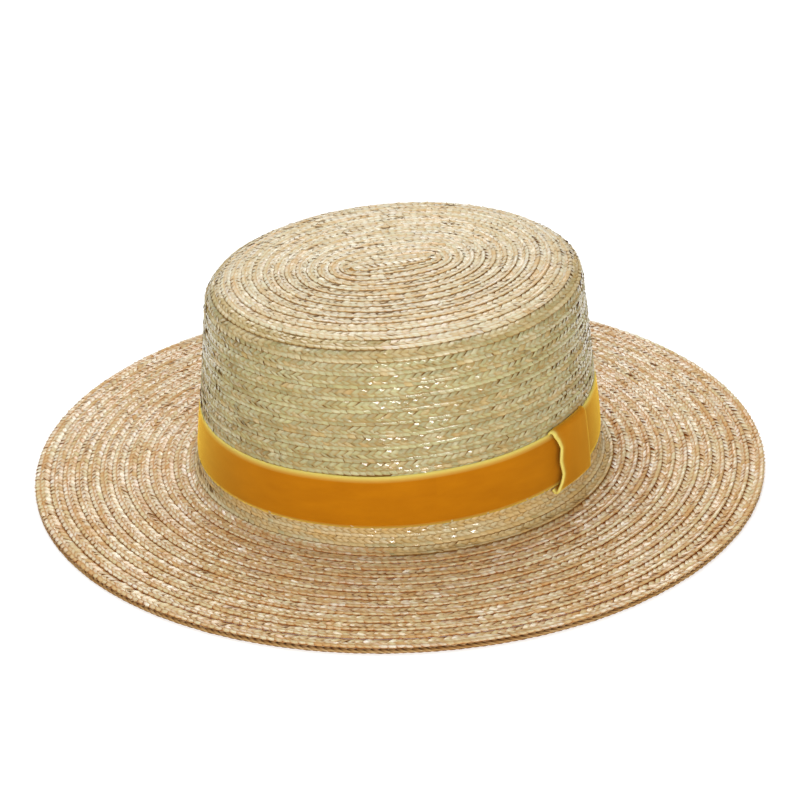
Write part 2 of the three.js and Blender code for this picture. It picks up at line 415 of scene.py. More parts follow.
# Straws that dive under the next row's lip
INNER_STRAW = {
    "stations": (
        (3.30, -0.16, 0.6, 3.3), (3.85, 0.10, 0.1, 3.6), (4.45, 0.22, 0.0, 3.7),
        (5.25, 0.08, 0.0, 3.7), (6.40, -0.28, 1.0, 3.6),
    ),
    "lean": 1.3, "tilt": -0.048, "bow": 0.04, "skew": 0.5,
}
# Straw of the bead at the brim's edge, whose place comes from the edge's own section
EDGE_STRAW = {
    "stations": (
        (0, 0, 0.9, 3.3), (0, 0, 0.2, 3.3), (0, 0, 0.0, 3.3), (0, 0, 0.1, 3.3), (0, 0, 0.9, 3.3),
    ),
    "lean": 0, "tilt": 0, "bow": 0.4, "skew": 0,
}
PLAIT_MIDDLE = 2.7 * MM
# Millimetres in from the lip: how far its fold reaches, and where the painted shade line along the lip
# starts and is full
LIP_REACH = 1.2
LIP_SHADE_START = 0.7
LIP_SHADE_FULL = 0.2


class StrawFloat:
    """One straw float, shaped from a grid: length along the plait, distance in and lift. Less relief
    makes it flatter and its edges' painted shade weaker. A line of painted shade darkens the straw
    along the lip."""

    def __init__(self, columns, rows, stations, lean, tilt, bow, skew, scallop=0.0, relief=1.0, lip_shade=0.0):
        grid, across, self.run = add_grid("straw_float", columns, rows)
        self.side = 2 * across - 1
        share = np.linspace(0, 1, len(stations))
        inward, lift, depth, width = (np.interp(self.run, share, each) for each in np.transpose(stations))
        self.spread = self.side * width * MM / 2
        # Painted shade: the lip's straws darken towards their edges, the rest less with less relief, and
        # the lip shade line is painted over it
        depth = np.where(inward > LIP_REACH, relief ** 0.5, 0.5 + 0.5 * self.side ** 2) * depth
        lip_shade_share = np.clip((LIP_SHADE_START - inward) / (LIP_SHADE_START - LIP_SHADE_FULL), 0, 1)
        depth = np.maximum(depth, lip_shade * lip_shade_share)
        tilt, bow, scallop = relief * tilt, relief * bow, relief * scallop
        inward = inward + scallop * self.side ** 2 * np.clip(LIP_REACH - inward, 0, 1) - skew * self.side
        self.inward = inward * MM
        self.slant = lean * (self.inward - PLAIT_MIDDLE)
        self.relief = relief
        self.lift = lift * MM + tilt * self.spread - bow * MM * self.side ** 2
        # Painted shade on the edge tucked under a neighbour and along the edges of a bowed straw
        tucked = np.clip(-np.sign(tilt) * self.side, 0, 1)
        self.depth = np.clip(depth + 0.8 * relief * tucked + bow * self.side ** 4, 0, 1)
        self.faces = read_faces(grid)
        bpy.data.objects.remove(grid)


def read_faces(piece):
    flat = np.empty(len(piece.data.loops), dtype=np.int64)
    piece.data.loops.foreach_get("vertex_index", flat)
    return flat.reshape(-1, 4)


def smooth_noise(rng, places, grain):
    """Noise from -1 to 1 that changes over about one grain of length."""
    knots = rng.uniform(-1, 1, int(np.max(places) / grain) + 3)
    at = places / grain
    low = np.floor(at).astype(int)
    part = at - low
    part = part * part * (3 - 2 * part)
    return knots[low] * (1 - part) + knots[low + 1] * part


def warm_foot_and_paint_light(looks, turns):
    """The crown's foot is warmer and painted paler, as painted light in the shade where it lies, and the
    shoulder is painted paler, as painted light where its rows turn up to the overhead light.
    """
    tone, hue, _ = looks
    foot = (turns > BRIM_TURNS) & (turns < FOOT_RUN_END)
    tone[foot] += 0.35
    hue[foot] = 0.6 * hue[foot] - 0.35
    shoulder = np.interp(turns, SHOULDER_TURNS, (0, 1, 1, 0))
    tone += 0.22 * shoulder
    hue *= 1 - 0.8 * shoulder


# The bake map keeps a strip for the flat body, and each straw has a cell of the rest with a margin
BODY_STRIP = 0.04
CELL_MARGIN = 0.12
# The flat body: tone, hue, shade depth and gloss of its straw, which is painted in full shade, how far
# it stays inside the plait's edges and under its straws, and its thickness
BODY_LOOKS = (0.3, 0.5, 1.0, 0.0)
BODY_INSET = 0.35 * MM
BODY_SINK = 0.42 * MM
BODY_THICKNESS = 0.30 * MM
# Span of a straw in mm, across and along, on the fibres' map, and the step from straw to straw
STRAW_SPAN = np.array((2.3, 4.5))
STRAW_STEP = np.array((7.31, 3.17))


class StrawWork:
    """Straw floats laid along runs of plait, gathered into one mesh."""

    def __init__(self, seed):
        self.rng = np.random.default_rng(seed)
        self.points = []
        self.faces = []
        self.looks = []
        self.flat = []
        self.numbers = []
        self.count = 0
        self.vertices = 0

    def straw_looks(self, centres, order):
        """Tone, hue and gloss of the straws: the strands take turns, and each strand's straw is
        followed by another after a while."""
        rng = self.rng
        strands = 5
        shortest = 0.11
        count = len(centres)
        strand = (np.arange(count) + 2 * order) % strands
        tone = np.empty(count)
        hue = np.empty(count)
        for each in range(strands):
            mine = strand == each
            lengths = centres[mine] / (shortest + 0.03 * each)
            piece = np.floor(lengths + rng.uniform()).astype(int)
            tone[mine] = rng.normal(0, 0.07, piece.max() + 2)[piece]
            hue[mine] = rng.normal(0, 0.15, piece.max() + 2)[piece]
        tone += 0.5 + 0.24 * smooth_noise(rng, centres, 0.013) + rng.normal(0, 0.05, count)
        hue += 0.5 + 0.35 * smooth_noise(rng, centres, 0.019) + rng.normal(0, 0.08, count)
        gloss = 0.28 + 0.12 * order + 0.45 * smooth_noise(rng, centres, 0.012)
        gloss += rng.normal(0, 0.22, count)
        return np.clip([tone, hue, gloss], 0, 1)

    def lay(self, run, straw, order, hidden=(), inside=False):
        """Lays a float at every step of the run, apart from hidden spans of turns. No two straws
        rock, heave, slip or spread alike."""
        rng = self.rng
        step = run.plait.step
        centres = np.arange(order * step / 3, run.length, step)
        count = len(centres)
        looks = self.straw_looks(centres, order)
        rock = 0.04 * smooth_noise(rng, centres, 0.012) + rng.normal(0, 0.07, count)
        heave = rng.normal(0, 0.06 * MM * straw.relief, count)
        slip = rng.normal(0, 0.12 * MM, count)
        wide = 1 + np.clip(rng.normal(0, 0.07, count), -0.15, 0.12)
        turns = run.turn_at(centres)
        kept = np.ones(count, bool)
        for low, high in hidden:
            kept &= ~((turns > low) & (turns < high))
        warm_foot_and_paint_light(looks, turns)
        centres, rock, heave, slip, wide = (
            each[kept, None] for each in (centres, rock, heave, slip, wide)
        )
        lift = straw.lift + heave + rock * (straw.inward - np.mean(straw.inward))
        lift = lift + rock[::-1] * straw.spread
        inward = np.broadcast_to(straw.inward, lift.shape)
        along = centres + slip + straw.slant * (2 - wide) + straw.spread * wide
        self.gather(run.place(along, inward, lift, inside), straw, looks[:, kept], inside)

    def gather(self, points, straw, straw_looks, inside=False):
        """Adds copies of a float to the mesh; those of the inner face are turned over."""
        many, corners = points.shape[:2]
        faces = straw.faces[:, ::-1] if inside else straw.faces
        base = np.arange(many)[:, None, None] * corners + self.vertices
        self.faces.append((faces[None] + base).reshape(-1, 4))
        self.points.append(points.reshape(-1, 3))
        tone, hue, gloss = (np.repeat(each, corners) for each in straw_looks)
        self.looks.append(np.stack([tone, hue, np.tile(straw.depth, many), gloss], axis=-1))
        cell = np.stack([(straw.side + 1) / 2, straw.run], axis=-1)
        self.flat.append(np.broadcast_to(cell, (many, corners, 2)).reshape(-1, 2))
        self.numbers.append(np.repeat(np.arange(many) + self.count, corners))
        self.count += many
        self.vertices += many * corners

    def finish(self, name):
        """One mesh of all the floats, with a map along each straw and a map of cells to bake to."""
        faces = np.concatenate(self.faces)
        mesh = bpy.data.meshes.new(name)
        mesh.vertices.add(self.vertices)
        mesh.vertices.foreach_set("co", np.concatenate(self.points).ravel())
        mesh.loops.add(faces.size)
        mesh.loops.foreach_set("vertex_index", faces.ravel())
        mesh.polygons.add(len(faces))
        mesh.polygons.foreach_set("loop_start", np.arange(0, faces.size, 4))
        mesh.update(calc_edges=True)
        piece = bpy.data.objects.new(name, mesh)
        bpy.context.collection.objects.link(piece)
        flat = np.concatenate(self.flat)
        number = np.concatenate(self.numbers)
        across = math.ceil(math.sqrt(self.count))
        cells = np.stack([number % across, number // across], axis=-1)
        add_map(piece, "straw_run", flat * STRAW_SPAN + number[:, None] * STRAW_STEP)
        spots = (cells + CELL_MARGIN + (1 - 2 * CELL_MARGIN) * flat) / across
        add_map(piece, "OFBake", spots * (1, 1 - BODY_STRIP) + (0, BODY_STRIP))
        add_looks(piece, np.concatenate(self.looks))
        return piece


def add_map(piece, name, spots):
    """UV map from one spot a vertex."""
    layer = piece.data.uv_layers.new(name=name)
    layer.uv.foreach_set("vector", spots[read_faces(piece).ravel()].astype(np.float32).ravel())


def add_looks(piece, looks):
    """Colour attribute that carries tone, hue, painted shade depth and gloss of the straw."""
    layer = piece.data.attributes.new("straw", "FLOAT_COLOR", "POINT")
    layer.data.foreach_set("color", looks.astype(np.float32).ravel())


# Modelling helpers

def add_grid(name, columns, rows):
    """A flat grid from 0 to 1 both ways."""
    bpy.ops.object.select_all(action="DESELECT")
    bpy.ops.mesh.primitive_grid_add(x_subdivisions=columns, y_subdivisions=rows, size=1)
    piece = bpy.context.object
    piece.name = name
    piece.data.name = name
    for layer in list(piece.data.uv_layers):
        piece.data.uv_layers.remove(layer)
    corners = np.empty(len(piece.data.vertices) * 3)
    piece.data.vertices.foreach_get("co", corners)
    across, along, _ = corners.reshape(-1, 3).T + 0.5
    return piece, across, along


def set_points(piece, points):
    piece.data.vertices.foreach_set("co", np.ascontiguousarray(points, dtype=np.float32).ravel())
    piece.data.update()


def choose(piece):
    bpy.ops.object.select_all(action="DESELECT")
    piece.select_set(True)
    bpy.context.view_layer.objects.active = piece


def thicken(piece, thickness):
    """Thickens a sheet towards its back."""
    choose(piece)
    modifier = piece.modifiers.new("Solidify", "SOLIDIFY")
    modifier.thickness = thickness
    modifier.offset = -1
    bpy.ops.object.modifier_apply(modifier=modifier.name)


def close_seam(piece):
    """Merges the two ends of a loop."""
    choose(piece)
    bpy.ops.object.mode_set(mode="EDIT")
    bpy.ops.mesh.select_all(action="SELECT")
    bpy.ops.mesh.remove_doubles(threshold=1e-6)
    bpy.ops.object.mode_set(mode="OBJECT")


def join(piece, others):
    choose(piece)
    for other in others:
        other.select_set(True)
    bpy.ops.object.join()


def add_body_looks(piece, along, across):
    """Maps and looks of the straw under the floats, which has its own strip in the bake map."""
    add_map(piece, "straw_run", np.stack([along, across], axis=-1))
    add_map(piece, "OFBake", np.stack([along, BODY_STRIP * (0.125 + 0.75 * across)], axis=-1))
    add_looks(piece, np.tile(BODY_LOOKS, (len(along), 1)))


def finish_piece(piece, material, node):
    """Smooths the piece, gives it its material and puts it in the place of its solid."""
    choose(piece)
    bpy.ops.object.shade_smooth()
    piece.data.materials.clear()
    piece.data.materials.append(material)
    first = piece.data.uv_layers[0]
    first.active = True
    first.active_render = True
    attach(piece, BODY)
    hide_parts(node)


def backing(run):
    """Flat body of the plait under the floats, as one thin strip along the run, painted in full shade."""
    steps = max(12, int(run.length / (6 * MM)))
    piece, along, across = add_grid("plait_body", steps, 2)
    inward = BODY_INSET + across * (run.plait.width - 2 * BODY_INSET)
    set_points(piece, run.place(along * run.length, inward, np.full(len(along), -BODY_SINK)))
    add_body_looks(piece, along, across)
    thicken(piece, BODY_THICKNESS)
    return piece


# Materials

def add_node(tree, kind, inputs=None, **settings):
    """Adds a shader node; an input that is given a socket is linked to it, and any other is set."""
    node = tree.nodes.new("ShaderNode" + kind)
    for name, value in settings.items():
        setattr(node, name, value)
    for name, value in (inputs or {}).items():
        if isinstance(value, bpy.types.NodeSocket):
            tree.links.new(value, node.inputs[name])
        else:
            node.inputs[name].default_value = value
    return node


def new_material(name):
    material = bpy.data.materials.new(name)
    material.use_nodes = True
    material.node_tree.nodes.clear()
    return material, material.node_tree


def opaque(colour):
    return (*colour, 1.0)


def set_stops(ramp, stops):
    elements = ramp.color_ramp.elements
    while len(elements) < len(stops):
        elements.new(1.0)
    for element, (place, colour) in zip(elements, stops, strict=True):
        element.position = place
        element.color = opaque(colour)


# Wax on the straw of each part, its roughness, how strongly it mirrors, and the painted glow of the gaps
STRAW_FINISH = {
    "brim": (2.2, 0.24, 1.75, 0.19),
    "side": (3.0, 0.11, 1.5, 0.08),
    "tip": (1.6, 0.15, 1.5, 0.14),
    "edge": (0.8, 0.15, 1.5, 0.0),
}


def straw_material(straw, part):
    """Split wheat straw, sun bleached and plaited damp: a waxy skin with fine lengthwise fibres.
    To the eye each straw has a tone of its own and glints along its back, and in the gaps it has
    painted shade and a painted glow, which turn it brown."""
    material, tree = new_material("Plaited wheat straw, " + part)
    ruddy, honey, pale, gap, shade, warm, green = (
        getattr(straw, f"{part}_{each}") for each in STRAW_SHADES
    )
    coat, polish, film, glow = STRAW_FINISH[part]
    looks = add_node(tree, "Attribute", attribute_name="straw")
    parts = add_node(tree, "SeparateColor", {"Color": looks.outputs["Color"]})
    tone, hue, depth = (parts.outputs[each] for each in ("Red", "Green", "Blue"))
    run = add_node(tree, "UVMap", uv_map="straw_run")
    # Fibres are about 0.15 mm wide; they are drawn 0.4 mm wide, so that they show
    lengthwise = add_node(tree, "Mapping", {"Vector": run.outputs["UV"], "Scale": (2.5, 0.35, 1.0)})
    fibre = add_node(
        tree, "TexNoise",
        {"Vector": lengthwise.outputs["Vector"], "Scale": 1.0, "Detail": 3.0, "Roughness": 0.6},
    )
    # Weathering comes and goes over 2 to 3 mm, across the straws
    spots = add_node(tree, "TexCoord")
    weather = add_node(
        tree, "TexNoise",
        {"Vector": spots.outputs["Object"], "Scale": 480.0, "Detail": 3.0, "Roughness": 0.85},
    )
    # Ranges for warm straws, green straws, the deepest painted shade, the painted glow of the gaps that
    # stands in for light through the thin straw, wax on the backs, and the skin's roughness
    gloss = looks.outputs["Alpha"]
    ranges = (
        (hue, -0.37, 0.3, 1.0, 0.0),
        (hue, 0.35, 1.0, 0.0, 0.75),
        (depth, 0.6, 1.0, 0.0, 1.0),
        (depth, 0.2, 1.0, 0.0, glow),
        (depth, 0.0, 0.5, coat, 0.0),
        (gloss, 0.15, 0.85, 0.42, 0.10),
    )
    sockets = ("Value", "From Min", "From Max", "To Min", "To Max")
    warmth, tinge, deepest, painted_gap_glow, backs, skin = (
        add_node(tree, "MapRange", dict(zip(sockets, each, strict=True))).outputs[0] for each in ranges
    )
    for detail, strength in ((fibre, 0.40), (weather, 0.90)):
        uneven = add_node(
            tree, "Math", {0: detail.outputs["Fac"], 1: strength, 2: tone}, operation="MULTIPLY_ADD"
        )
        tone = uneven.outputs[0]
    levelled = add_node(tree, "Math", {0: tone, 1: 0.65}, operation="SUBTRACT")
    ramp = add_node(tree, "ValToRGB", {"Fac": levelled.outputs[0]})
    set_stops(ramp, ((0.05, ruddy), (0.45, honey), (0.95, pale)))
    # Painted shade: the gap shade deepens to the shade colour and is laid over the straw by shade depth
    gaps = add_node(tree, "Mix", {0: deepest, 6: opaque(gap), 7: opaque(shade)}, data_type="RGBA")
    colour = ramp.outputs["Color"]
    for share, over in ((warmth, opaque(warm)), (tinge, opaque(green)), (depth, gaps.outputs[2])):
        mixed = add_node(tree, "Mix", {0: share, 6: colour, 7: over}, data_type="RGBA")
        colour = mixed.outputs[2]
    wax = add_node(tree, "Math", {0: gloss, 1: backs}, operation="MULTIPLY", use_clamp=True)
    worn = add_node(tree, "Math", {0: fibre.outputs["Fac"], 1: 0.08, 2: skin}, operation="MULTIPLY_ADD")
    dulled = add_node(
        tree, "Math", {0: depth, 1: 0.5, 2: worn.outputs[0]}, operation="MULTIPLY_ADD", use_clamp=True
    )
    fine = {"Height": fibre.outputs["Fac"], "Strength": 0.25, "Distance": 0.3 * MM}
    grain = add_node(tree, "Bump", fine)
    # The emission is the painted glow of the gaps, standing in for light through the thin straw
    shader = add_node(
        tree, "BsdfPrincipled",
        {
            "Base Color": colour, "Roughness": dulled.outputs[0], "Normal": grain.outputs["Normal"],
            "IOR": 1.25, "Coat Weight": wax.outputs[0], "Coat Roughness": polish, "Coat IOR": film,
            "Emission Color": opaque(linear("#A85A1C")), "Emission Strength": painted_gap_glow,
        },
    )
    add_node(tree, "OutputMaterial", {"Surface": shader.outputs["BSDF"]})
    return material


def velvet_material(ribbon):
    """Cotton velvet with a cut pile and a woven edge. The pile eats light where it is met head on
    and glows yellow where it is met aslant; it lies a little differently from place to place."""
    material, tree = new_material("Cotton velvet ribbon")
    run = add_node(tree, "UVMap", uv_map="ribbon_run")
    # The pile lies in brushed patches 6 to 30 mm long; its tufts stand 0.4 mm apart
    brushed = add_node(tree, "Mapping", {"Vector": run.outputs["UV"], "Scale": (45.0, 160.0, 1.0)})
    patches = add_node(
        tree, "TexNoise",
        {"Vector": brushed.outputs["Vector"], "Scale": 1.0, "Detail": 3.0, "Roughness": 0.55},
    )
    tufts = add_node(
        tree, "TexNoise",
        {"Vector": run.outputs["UV"], "Scale": 2500.0, "Detail": 1.0, "Roughness": 0.5},
    )
    ramp = add_node(tree, "ValToRGB", {"Fac": patches.outputs["Fac"]})
    set_stops(ramp, ((0.30, ribbon.pile), (0.75, ribbon.pile_light)))
    woven = add_node(tree, "Attribute", attribute_name="selvedge")
    edged = {0: woven.outputs["Fac"], 6: ramp.outputs["Color"], 7: opaque(ribbon.edge)}
    colour = add_node(tree, "Mix", edged, data_type="RGBA")
    height = add_node(tree, "Math", {0: tufts.outputs["Fac"], 1: patches.outputs["Fac"]}, operation="ADD")
    nap = add_node(tree, "Bump", {"Height": height.outputs[0], "Strength": 0.5, "Distance": 0.25 * MM})
    rough = add_node(tree, "MapRange", {"Value": tufts.outputs["Fac"], "To Min": 0.80, "To Max": 0.98})
    shader = add_node(
        tree, "BsdfPrincipled",
        {
            "Base Color": colour.outputs[2], "Roughness": rough.outputs[0],
            "Normal": nap.outputs["Normal"], "IOR": 1.3, "Specular IOR Level": 0.2,
            "Sheen Weight": 1.0, "Sheen Roughness": 0.45, "Sheen Tint": opaque(linear("#FFD954")),
        },
    )
    add_node(tree, "OutputMaterial", {"Surface": shader.outputs["BSDF"]})
    return material


def floor_material(stage):
    """Matt white paper, faintly mottled."""
    material, tree = new_material("Matt white paper")
    spots = add_node(tree, "TexCoord")
    mottle = add_node(tree, "TexNoise", {"Vector": spots.outputs["Object"], "Scale": 30.0})
    rough = add_node(tree, "MapRange", {"Value": mottle.outputs["Fac"], "To Min": 0.85, "To Max": 0.95})
    shader = add_node(
        tree, "BsdfPrincipled",
        {
            "Base Color": opaque(stage.floor), "Roughness": rough.outputs[0], "Specular IOR Level": 0.1,
            "Emission Color": (1, 1, 1, 1), "Emission Strength": stage.floor_glow,
        },
    )
    add_node(tree, "OutputMaterial", {"Surface": shader.outputs["BSDF"]})
    return material


# Pieces

def plaited_piece(name, runs, seed, hidden=()):
    """Floats over the outer and inner faces of the runs, on a flat body. Each run has its relief,
    less where the plait was pressed harder, and its lip shade, a line of painted shade along the lip
    against the row outside it. The straw of the inner face has less painted shade."""
    work = StrawWork(seed)
    for run, relief, lip_shade in runs:
        lip = StrawFloat(2, 5, **LIP_STRAW, relief=(1 - 0.5 * min(lip_shade, 1)) * relief, lip_shade=lip_shade)
        work.lay(run, lip, 0, hidden)
        work.lay(run, StrawFloat(2, 2, **MID_STRAW, relief=relief), 1, hidden)
        work.lay(run, StrawFloat(2, 4, **INNER_STRAW, relief=relief), 2, hidden)
        for order, back in ((0, StrawFloat(1, 3, **LIP_STRAW)), (2, StrawFloat(1, 2, **INNER_STRAW))):
            back.depth *= 0.4
            work.lay(run, back, order, inside=True)
    piece = work.finish(name)
    join(piece, [backing(run) for run, _, _ in runs])
    return piece


class HAT_OT_brim(bpy.types.Operator):
    """Sew the brim's rows of plait from the edge to the headline."""

    bl_idname = "straw_hat.brim"
    bl_label = "Brim"

    def execute(self, context):
        hat = context.scene.straw_hat
        form = HatForm(hat.sizes)
        # The first row starts one turn out, where the rows begin to step in
        jog = (hat.plait.jog - hat.plait.front - hat.plait.jog_width / 2) / (2 * math.pi)
        run = SewnRun(form, hat.plait, jog - 1, BRIM_TURNS)
        piece = plaited_piece("straw_brim", [(run, 0.74, 0.0)], hat.plait.seed)
        finish_piece(piece, straw_material(hat.straw, "brim"), "brim")
        return {"FINISHED"}


class HAT_OT_crown_side(bpy.types.Operator):
    """Sew the rows of the crown's foot, wall and shoulder."""

    bl_idname = "straw_hat.crown_side"
    bl_label = "Crown Side"

    def execute(self, context):
        hat = context.scene.straw_hat
        form = HatForm(hat.sizes)
        foot = SewnRun(form, hat.plait, BRIM_TURNS, FOOT_RUN_END)
        wall = SewnRun(form, hat.plait, FOOT_RUN_END, SIDE_TURNS)
        runs = [(foot, 0.9, 1.6), (wall, 0.75, 0.85)]
        piece = plaited_piece("straw_crown_side", runs, hat.plait.seed + 1, UNDER_RIBBON)
        finish_piece(piece, straw_material(hat.straw, "side"), "crown_side")
        return {"FINISHED"}


class HAT_OT_crown_tip(bpy.types.Operator):
    """Sew the rows of the tip round their straight start."""

    bl_idname = "straw_hat.crown_tip"
    bl_label = "Crown Tip"

    def execute(self, context):
        hat = context.scene.straw_hat
        form = HatForm(hat.sizes)
        # The last turn stops short, where the straight start takes over
        last = SIDE_TURNS + hat.plait.tip_rows - 0.7
        run = SewnRun(form, hat.plait, SIDE_TURNS, last)
        start = StartRun(form, hat.plait, -21 * MM, 18 * MM)
        runs = [(run, 0.5, 0.0), (start, 0.5, 0.0)]
        piece = plaited_piece("straw_crown_tip", runs, hat.plait.seed + 2)
        finish_piece(piece, straw_material(hat.straw, "tip"), "crown_tip")
        return {"FINISHED"}


# Section of the doubled edge in mm, distance out from the head oval and height, from its inner end
# over the top, round the edge and back underneath
EDGE_SECTION = (
    (70.9, 1.35), (75.3, 1.45), (76.3, 1.40), (76.7, 1.05), (76.85, 0.70),
    (76.7, 0.30), (76.3, 0.06), (75.3, 0.03), (70.9, 0.03),
)
# The bead swells away from a line this far in from the edge and this high
BEAD_IN = 1.2 * MM
BEAD_HEIGHT = 0.72 * MM
EDGE_SAMPLES = 1441


class EdgeRun:
    """The row of plait that is turned under at the brim's edge. A place on it is a length round
    the edge, a share of the way round its section and a lift off it."""

    def __init__(self, form, plait):
        self.form = form
        self.plait = plait
        self.section = np.array(EDGE_SECTION) * MM
        self.angles = np.linspace(0, 2 * math.pi, EDGE_SAMPLES)
        middle = form.on_oval(self.angles, np.full(EDGE_SAMPLES, form.sizes.brim_width), 0 * self.angles)
        self.lengths = running_length(middle)
        self.length = self.lengths[-1]

    def place(self, length, share, lift):
        angle = np.interp(np.mod(length, self.length), self.lengths, self.angles)
        spots = np.linspace(0, 1, len(self.section))
        out = np.interp(share, spots, self.section[:, 0])
        height = np.interp(share, spots, self.section[:, 1])
        away_out = np.maximum(out - self.section[:, 0].max() + BEAD_IN, 0)
        away_up = height - BEAD_HEIGHT
        far = np.maximum(np.hypot(away_out, away_up), 1e-6)
        height = np.maximum(height + lift * away_up / far, 0.02 * MM)
        return self.form.on_oval(angle, out + lift * away_out / far, height)


class HAT_OT_brim_edge(bpy.types.Operator):
    """Turn the outermost row of plait under, as a twisted bead round the edge."""

    bl_idname = "straw_hat.brim_edge"
    bl_label = "Brim Edge"

    def execute(self, context):
        hat = context.scene.straw_hat
        run = EdgeRun(HatForm(hat.sizes), hat.plait)
        piece, along, share = add_grid("straw_brim_edge", 360, 24)
        set_points(piece, run.place(along * run.length, share, np.full(len(along), -0.30 * MM)))
        add_body_looks(piece, along, share)
        close_seam(piece)
        work = StrawWork(hat.plait.seed + 3)
        count = int(run.length / hat.plait.step)
        straw = StrawFloat(2, 8, **EDGE_STRAW)
        # Painted shade under the turn of the edge, and in the notches between straws on its top
        under = np.clip(1 - np.abs(straw.run - 0.60) / 0.22, 0, 1)
        notch_shade = np.clip(1 - np.abs(straw.run - 0.25) / 0.13, 0, 1) * straw.side ** 2
        straw.depth = np.clip(straw.depth + under + notch_shade, 0, 1)
        centres = (np.arange(count) + 0.5) * run.length / count
        looks = work.straw_looks(centres, 0)
        # The ends of a straw are tucked in, its back is round, and the bead twists by 9 mm
        tucked = np.abs(straw.run - 0.5) > 0.48
        lift = np.where(tucked, -0.35 * MM, 0.08 * MM) - 0.28 * MM * straw.side ** 2
        lift = lift + work.rng.normal(0, 0.05 * MM, count)[:, None]
        along = centres[:, None] + straw.side * 1.7 * MM + (straw.run - 0.5) * 9.0 * MM
        share = np.broadcast_to(0.04 + 0.92 * straw.run, lift.shape)
        work.gather(run.place(along, share, lift), straw, looks)
        join(piece, [work.finish("straw_edge_floats")])
        finish_piece(piece, straw_material(hat.straw, "edge"), "brim_edge")
        return {"FINISHED"}


# The keeper's width on the crown, and the distance of its face from the crown's axis
KEEPER_FACE = 0.026
KEEPER_RADIUS = 0.098


def mark_selvedge(piece, from_edge, selvedge):
    """Marks the woven edge, which fades into the pile."""
    shares = np.clip(1.5 - from_edge / selvedge, 0, 1)
    layer = piece.data.attributes.new("selvedge", "FLOAT", "POINT")
    layer.data.foreach_set("value", shares.astype(np.float32))


class HAT_OT_ribbon(bpy.types.Operator):
    """Lay the velvet ribbon round the crown's foot and wrap its keeper over it."""

    bl_idname = "straw_hat.ribbon"
    bl_label = "Velvet Ribbon"

    def execute(self, context):
        hat = context.scene.straw_hat
        form = HatForm(hat.sizes)
        material = velvet_material(hat.ribbon)
        girth = math.pi * (hat.sizes.head_half_width + hat.sizes.head_half_length)
        band = self.lay_band(form, hat.ribbon, girth)
        finish_piece(band, material, "ribbon_band")
        keeper = self.wrap_keeper(form, hat.ribbon)
        finish_piece(keeper, material, "ribbon_keeper")
        return {"FINISHED"}

    def lay_band(self, form, ribbon, girth):
        """The band, a little swollen between its edges, with a slight pull along its top."""
        piece, round_it, across = add_grid("velvet_ribbon_band", 320, 16)
        angle = 2 * math.pi * round_it
        foot = form.brim_end + ribbon.foot
        crown = 1 - (2 * across - 1) ** 4
        pull = np.sin(7 * angle) * 0.12 * MM + np.sin(11 * angle + 1.3) * 0.10 * MM
        offset = ribbon.ease + 0.45 * ribbon.thickness + (ribbon.crowning + 0.1 * MM) * crown
        along = foot + ribbon.width * across + pull * across
        set_points(piece, form.point(angle, along, offset))
        add_map(piece, "ribbon_run", np.stack([round_it * girth, across * ribbon.width], axis=-1))
        # The lower edge is mostly turned out of sight, so little of its selvedge shows
        mark_selvedge(piece, np.minimum(1 - across, 0.06 + 5 * across) * ribbon.width, ribbon.selvedge)
        close_seam(piece)
        thicken(piece, 0.6 * ribbon.thickness)
        return piece

    def wrap_keeper(self, form, ribbon):
        """The keeper, wrapped from behind the band's top over its face to behind its foot. Its near
        edge wavers and stands away from the band, and its far edge is pressed down."""
        piece, across, wrap = add_grid("velvet_ribbon_keeper", 28, 48)
        foot = form.brim_end + ribbon.foot
        top = foot + ribbon.width
        over = ribbon.ease + 2 * ribbon.thickness + ribbon.crowning + 0.35 * MM
        path = np.array([
            (top + 0.3 * MM, 0.9 * MM), (top + 1.1 * MM, 1.3 * MM), (top + 1.4 * MM, 2.2 * MM),
            (top + 0.6 * MM, over), (top - 3 * MM, over + 0.2 * MM), ((top + foot) / 2, over + 0.3 * MM),
            (foot + 3 * MM, over + 0.2 * MM), (foot - 0.6 * MM, over), (foot - 1.4 * MM, 2.2 * MM),
            (foot - 1.1 * MM, 1.3 * MM), (foot - 0.3 * MM, 0.9 * MM),
        ])
        steps = running_length(path)
        at = wrap * steps[-1]
        along = np.interp(at, steps, path[:, 0])
        offset = np.interp(at, steps, path[:, 1])
        down = np.clip((top - along) / ribbon.width, 0, 1)
        shares = (0, 0.12, 0.28, 0.52, 0.78, 0.9, 1)
        wave = np.interp(down, shares, (-2.6, -0.6, 1.1, -0.4, 0.9, -0.6, -3.0)) * MM
        near = np.clip(1 - across / 0.18, 0, 1) ** 1.5
        far = np.clip((across - 0.9) / 0.1, 0, 1) ** 2
        offset = offset + near * 1.2 * MM - far * 1.1 * MM
        angle = ribbon.keeper_from + (ribbon.keeper_to - ribbon.keeper_from) * across
        angle = angle + wave * np.clip(1 - across / 0.35, 0, 1) / KEEPER_RADIUS
        set_points(piece, form.point(angle, along, offset))
        add_map(piece, "ribbon_run", np.stack([at, across * KEEPER_FACE], axis=-1))
        mark_selvedge(piece, across * KEEPER_FACE, ribbon.selvedge)
        thicken(piece, 0.8 * ribbon.thickness)
        return piece


